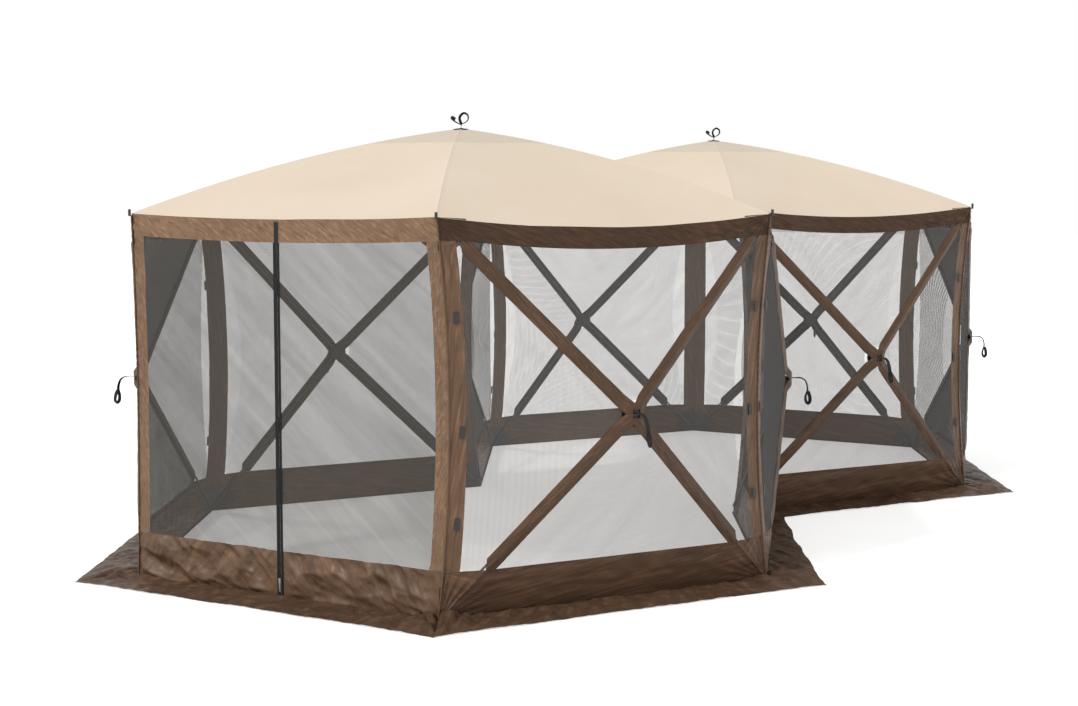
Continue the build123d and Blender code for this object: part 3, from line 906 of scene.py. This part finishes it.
def flap_point(n, v, w):
    """v runs along the wall and w outward, from 0 at the foot to 1 at the flap's edge."""
    near, far = [], []
    for m, before, after in ((n, n - 1, n), (n + 1, n, n + 1)):
        mitre = (outward(before % 10) + outward(after % 10)) * (2 / 3)
        near.append(corner(m) - mitre * 0.012)
        far.append(corner(m) + mitre * FLAP_WIDTH)
    foot, edge = near[0].lerp(near[1], v), far[0].lerp(far[1], v)
    seed = 3.7 * n
    ragged = 1 - 0.10 * (0.5 + 0.5 * noise.noise(Vector((v * 7, seed, 0)))) * w * arch(v) ** 0.3
    point = foot.lerp(edge, w * ragged)
    rise = 0.006 + 0.013 * crease(v * 9 + w * 2, w * 1.6, seed)
    rise += 0.007 * crease(v * 24 - w * 3, w * 3, seed + 9)
    rise += 0.004 * crease(v * 50 + w * 8, w * 6, seed + 4)
    tall = 0.050 if (n, v > 0.5) in ((0, True), (1, False)) else 0.020
    bunch = smooth((0.12 - min(v, 1 - v)) / 0.09) * smooth((1.0 - w) / 0.5)
    rise += bunch * tall * (0.45 + crease(v * 34, w * 4, seed + 1))
    rise *= smooth(min(v, 1 - v) / 0.012)
    calm = 0.35 + 0.65 * smooth((1 - w) / 0.25)
    return point + UP * (0.0022 + max(0.0, rise) * smooth(w / 0.12) * calm)


for n in range(10):
    grid = [[flap_point(n, v, w) for v in spread(0, 1, 161)] for w in spread(0, 1, 24)]
    piece = patches(f"flap_{n}", [grid], FLAP_BROWN)
    if n == 0:
        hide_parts("ground_flaps")
    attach(piece, "shell")


# -------------------- hubs, straps and trim


def lathe(profile, place, axis, steps=64):
    """Points and faces of a turned shape: (radius, height) points round an axis."""
    side = axis.orthogonal().normalized()
    front = axis.cross(side)
    points = []
    for radius, height in profile:
        for k in range(steps):
            angle = 2 * pi * k / steps
            points.append(place + axis * height + (side * cos(angle) + front * sin(angle)) * radius)
    return points, grid_faces(len(profile), steps, around=True)


def ring_shape(radius, tube, place, axis):
    """Points and faces of a small ring."""
    profile = [(radius + tube * cos(2 * pi * k / 10), tube * sin(2 * pi * k / 10))
               for k in range(11)]
    return lathe(profile, place, axis, steps=48)


def join_shapes(name, shapes, look):
    points, faces = [], []
    for new_points, new_faces in shapes:
        faces += [tuple(len(points) + k for k in face) for face in new_faces]
        points += new_points
    return mesh_object(name, points, faces, look)


def curve_through(knots, steps=7):
    """A smooth line through some points."""
    ends = [knots[0] * 2 - knots[1]] + knots + [knots[-1] * 2 - knots[-2]]
    line = []
    for a, b, c, d in zip(ends, ends[1:], ends[2:], ends[3:]):
        for k in range(steps):
            t = k / steps
            line.append(0.5 * (2 * b + (c - a) * t + (2 * a - 5 * b + 4 * c - d) * t * t
                               + (3 * b - a - 3 * c + d) * t ** 3))
    return line + [knots[-1]]


# Webbing's section with its worn edges, in half widths and half thicknesses
RIBBON_OUTLINE = ((-1, -0.6), (-0.9, -1), (0.9, -1), (1, -0.6), (1, 0.6), (0.9, 1), (-0.9, 1),
                  (-1, 0.6))


def ribbon(knots, across, wide, thick, twist):
    """Webbing along a line: points and faces, with its width across and turned by twist."""
    line = curve_through(knots)
    points = []
    for k, point in enumerate(line):
        ahead = line[min(k + 1, len(line) - 1)] - line[max(k - 1, 0)]
        ahead.normalize()
        turn = twist * k / len(line)
        side = (across - ahead * across.dot(ahead)).normalized()
        lift = ahead.cross(side)
        side, lift = side * cos(turn) + lift * sin(turn), lift * cos(turn) - side * sin(turn)
        for s, t in RIBBON_OUTLINE:
            points.append(point + side * (s * wide / 2) + lift * (t * thick / 2))
    sides = len(RIBBON_OUTLINE)
    faces = grid_faces(len(line), sides, around=True)
    last = (len(line) - 1) * sides
    faces += [tuple(range(sides))[::-1], tuple(last + k for k in range(sides))]
    return points, faces


# A wall hub's turned half, as (radius, height) from its middle, and its webbing pull, as
# (out, up) from the wall's tip
SPOOL = [(0.0, -0.0285), (0.018, -0.0282), (0.035, -0.0264), (0.047, -0.0240), (0.0495, -0.0225),
         (HUB_R, -0.0205), (HUB_R, -0.0178), (0.049, -0.0165), (0.030, -0.0130), (0.012, -0.010)]
PULL = [(0.014, 0.000), (0.045, 0.003), (0.078, 0.001), (0.101, -0.014), (0.112, -0.042),
        (0.114, -0.070), (0.106, -0.100), (0.107, -0.128), (0.118, -0.142), (0.130, -0.130),
        (0.128, -0.102), (0.118, -0.074)]


def wall_hub(n):
    front = outward(n)
    place = apex(n) - front * HUB_IN
    profile = SPOOL + [(r, -h) for r, h in reversed(SPOOL)]
    spool = lathe(profile, place, front)
    collar = ring_shape(0.019, 0.0030, place + front * 0.0285, front)
    body = join_shapes(f"hub_{n}_spool", [spool, collar], BLACK)
    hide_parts(f"hub_{n}")
    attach(body, f"hub_{n}")
    knots = [apex(n) + front * x + UP * y + along(n) * (0.018 * smooth(-y / 0.14))
             for x, y in PULL]
    webbing_loop = ribbon(knots, along(n), 0.019, 0.0022, twist=1.5)
    pull = join_shapes(f"hub_{n}_pull", [webbing_loop], STRAP_BLACK)
    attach(pull, f"hub_{n}")


# A roof hub's turned body, as (radius, height), and the loop and loose end of its webbing, as
# (across, up) from the peak
ROOF_SPOOL = [(0.0, -0.0305), (0.081, -0.0305), (0.085, -0.0285), (0.085, -0.0262),
              (0.083, -0.0245), (0.050, -0.0215), (0.012, -0.0170), (0.012, 0.0315),
              (0.043, 0.0315), (0.045, 0.0332), (0.045, 0.0358), (0.043, 0.0375), (0.0, 0.0390)]
ROOF_DROP = 0.052  # from the peak down to the hub's middle
RING_KNOTS = [(0.000, -0.012), (0.001, 0.012), (0.006, 0.026), (0.026, 0.036), (0.040, 0.052),
              (0.038, 0.074), (0.020, 0.086), (0.003, 0.078), (-0.007, 0.060), (-0.003, 0.040),
              (0.004, 0.024)]
STUB_KNOTS = [(0.004, 0.020), (-0.012, 0.028), (-0.032, 0.040), (-0.050, 0.056),
              (-0.046, 0.064), (-0.030, 0.052)]
LOOP_ACROSS = Vector((0.515, -0.857, 0))  # the way the roof's webbing loops spread


def roof_hub(shelter):
    top = CENTRES[shelter] + UP * PEAK
    place = top - UP * ROOF_DROP
    patch = [(0.008, 0.0020), (0.030, 0.0016), (0.044, -0.0018), (0.046, -0.0035)]
    shapes = [lathe(ROOF_SPOOL, place, UP), lathe(patch, top, UP),
              ring_shape(0.010, 0.0030, top + UP * 0.002, UP)]
    body = join_shapes(f"roof_hub_{shelter}_spool", shapes, BLACK)
    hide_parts(f"roof_hub_{shelter}")
    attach(body, f"roof_hub_{shelter}")
    deep = LOOP_ACROSS.cross(UP)
    loops = []
    for knots, lean in ((RING_KNOTS, 0.12), (STUB_KNOTS, -0.2)):
        line = [top + LOOP_ACROSS * x + UP * y + deep * (lean * x) for x, y in knots]
        loops.append(ribbon(line, deep, 0.020, 0.0020, twist=0.9))
    pull = join_shapes(f"roof_hub_{shelter}_pull", loops, STRAP_BLACK)
    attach(pull, f"roof_hub_{shelter}")


PIPING_ROWS = 160
PIPING_SIDES = 8


def corner_piping():
    """The ruched seam along each corner's upright edge."""
    shapes = []
    for n in range(10):
        edge = "left" if n in HUB_WALLS else "right"
        wall = n if n in HUB_WALLS else 9
        out = (outward(n) + outward((n - 1) % 10)).normalized()
        points = []
        for k, v in enumerate(spread(0.004, 0.996, PIPING_ROWS)):
            base = outline(wall, edge, v if edge == "left" else 1 - v) + out * 0.003
            radius = 0.0042 + 0.0011 * sin(k * 1.9) + 0.0008 * noise.noise(base * 40)
            side = out.cross(UP)
            for j in range(PIPING_SIDES):
                angle = 2 * pi * j / PIPING_SIDES
                points.append(base + (out * cos(angle) + side * sin(angle)) * radius)
        shapes.append((points, grid_faces(PIPING_ROWS, PIPING_SIDES, around=True)))
    piece = join_shapes("corner_piping", shapes, BROWN)
    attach(piece, "shell")


PATCH_R = 0.150
PATCH_DEPTH = 0.0045  # behind the cloth
PATCH_START = 0.012  # from the corner
PATCH_TURNS = spread(0.06, pi / 2 - 0.06, 17)  # angles from along the foot or eave


def corner_patches(n):
    """Dark rounded reinforcement behind the netting in a hub wall's corners."""
    depth, grids = depth_of(n), []
    spots = ((0, 0, 1, 1), (SIDE, 0, -1, 1), (0, EAVE, 1, -1), (SIDE, EAVE, -1, -1))
    for foot_x, foot_z, way_x, way_z in spots:
        grid = []
        for far in spread(PATCH_START, PATCH_R, 8):
            row = []
            for turn in PATCH_TURNS:
                bent = far * (1 + 0.12 * sin(2 * turn))
                x = foot_x + way_x * bent * cos(turn)
                z = foot_z + way_z * bent * sin(turn)
                out, _ = depth(x, z)
                flat = corner(n) + along(n) * x + UP * z + outward(n) * float(out)
                row.append(flat + outward(n) * (pleats(n, flat) - PATCH_DEPTH))
            grid.append(row)
        grids.append(grid)
    piece = patches(f"corner_patches_{n}", grids, PATCH)
    follow(piece, n, 0, -PATCH_DEPTH)


def door_patches():
    """The same reinforcement behind the door wall's upper corners."""
    grids = []
    for way in (-1, 1):
        grid = []
        for far in spread(PATCH_START, PATCH_R, 8):
            spots = [(way * (HALF - far * cos(turn)), EAVE - far * sin(turn))
                     for turn in PATCH_TURNS]
            grid.append([door_point(x, z, door_wrinkle(x, z) - PATCH_DEPTH) for x, z in spots])
        grids.append(grid)
    piece = patches("door_patches", grids, PATCH)
    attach(piece, "shell")


def zip_top():
    """The zipper's tape goes on over the band, up to the eave."""
    grid = [[door_point(x, z, door_wrinkle(x, z) + 0.003) for x in spread(-0.012, 0.012, 7)]
            for z in spread(band_foot(0) - 0.006, EAVE - DOOR_SAG - 0.012, 21)]
    piece = patches("zip_top", [grid], TAPE)
    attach(piece, "shell")


for n in HUB_WALLS:
    wall_hub(n)
    corner_patches(n)
for shelter in CENTRES:
    roof_hub(shelter)
corner_piping()
door_patches()
zip_top()


# -------------------- carried-over CAD nodes


def dress(name, look):
    """Give a CAD node's object this material in all its slots."""
    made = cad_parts[name]
    if not made.material_slots:
        made.data.materials.append(look)
    for place in made.material_slots:
        place.material = look


for n in HUB_WALLS:
    dress(f"upper_poles_{n}", POLE_GREY)
    dress(f"lower_poles_{n}", POLE_GREY)
for shelter in CENTRES:
    for pair in (1, 2, 3):
        dress(f"roof_poles_{shelter}_{pair}", POLE_GREY)
dress("door_zipper", TAPE)
dress("zipper_slider", STEEL)
dress("black_fittings", BLACK)


# -------------------- stage, light and camera


FLOOR_REACH = 60.0
FLOOR_DROP = 0.001  # below the ground flaps


def stage():
    """A pale floor that glows a little, and an even studio that is plain white where seen."""
    made, _, shader = material("floor_white", 0.9)
    shader.inputs["Base Color"].default_value = (0.55, 0.55, 0.55, 1)
    shader.inputs["Emission Color"].default_value = (1, 1, 1, 1)
    shader.inputs["Emission Strength"].default_value = 0.60
    ends = ((-1, -1), (1, -1), (1, 1), (-1, 1))
    spots = [(x * FLOOR_REACH, y * FLOOR_REACH, -FLOOR_DROP) for x, y in ends]
    floor = mesh_object("floor", spots, [(0, 1, 2, 3)], made)
    world = bpy.data.worlds.new("studio")
    bpy.context.scene.world = world
    world.use_nodes = True
    tree = world.node_tree
    lit = tree.nodes["Background"]
    lit.inputs["Color"].default_value = (1, 1, 1, 1)
    lit.inputs["Strength"].default_value = 0.85
    seen = node(tree, "ShaderNodeBackground", Color=(1, 1, 1, 1))
    path = node(tree, "ShaderNodeLightPath")
    choice = node(tree, "ShaderNodeMixShader")
    tree.links.new(path.outputs["Is Camera Ray"], choice.inputs[0])
    tree.links.new(lit.outputs[0], choice.inputs[1])
    tree.links.new(seen.outputs[0], choice.inputs[2])
    tree.links.new(choice.outputs[0], tree.nodes["World Output"].inputs["Surface"])
    bpy.context.scene.view_settings.view_transform = "Standard"


def put(data, place, aim):
    """An object for a light or a camera, at a place and looking along aim."""
    made = bpy.data.objects.new(data.name, data)
    bpy.context.collection.objects.link(made)
    made.location = place
    made.rotation_euler = aim.to_track_quat("-Z", "Y").to_euler()
    return made


SUN_PLACE = Vector((-9, 2.5, 11))
SUN_AIM = Vector((0, 0, 1))


def sun():
    """A large soft sun, a little warm."""
    data = bpy.data.lights.new("sun", "SUN")
    data.energy = 2.3
    data.color = (1.0, 0.97, 0.93)
    data.angle = radians(6)
    put(data, SUN_PLACE, SUN_AIM - SUN_PLACE)


CAMERA_PLACE = (-9.987, -5.547, 1.999)
CAMERA_LENS = 60.57  # in mm, over a 36 mm sensor
CAMERA_WAY = (0.8568, 0.5156)  # level direction that the camera faces
CAMERA_TILT = 0.093  # downward, in radians


def camera():
    data = bpy.data.cameras.new("camera")
    data.lens = CAMERA_LENS
    data.sensor_width = 36.0
    data.clip_end = 300
    x, y = CAMERA_WAY
    aim = Vector((x * cos(CAMERA_TILT), y * cos(CAMERA_TILT), -sin(CAMERA_TILT)))
    bpy.context.scene.camera = put(data, CAMERA_PLACE, aim)


stage()
sun()
camera()
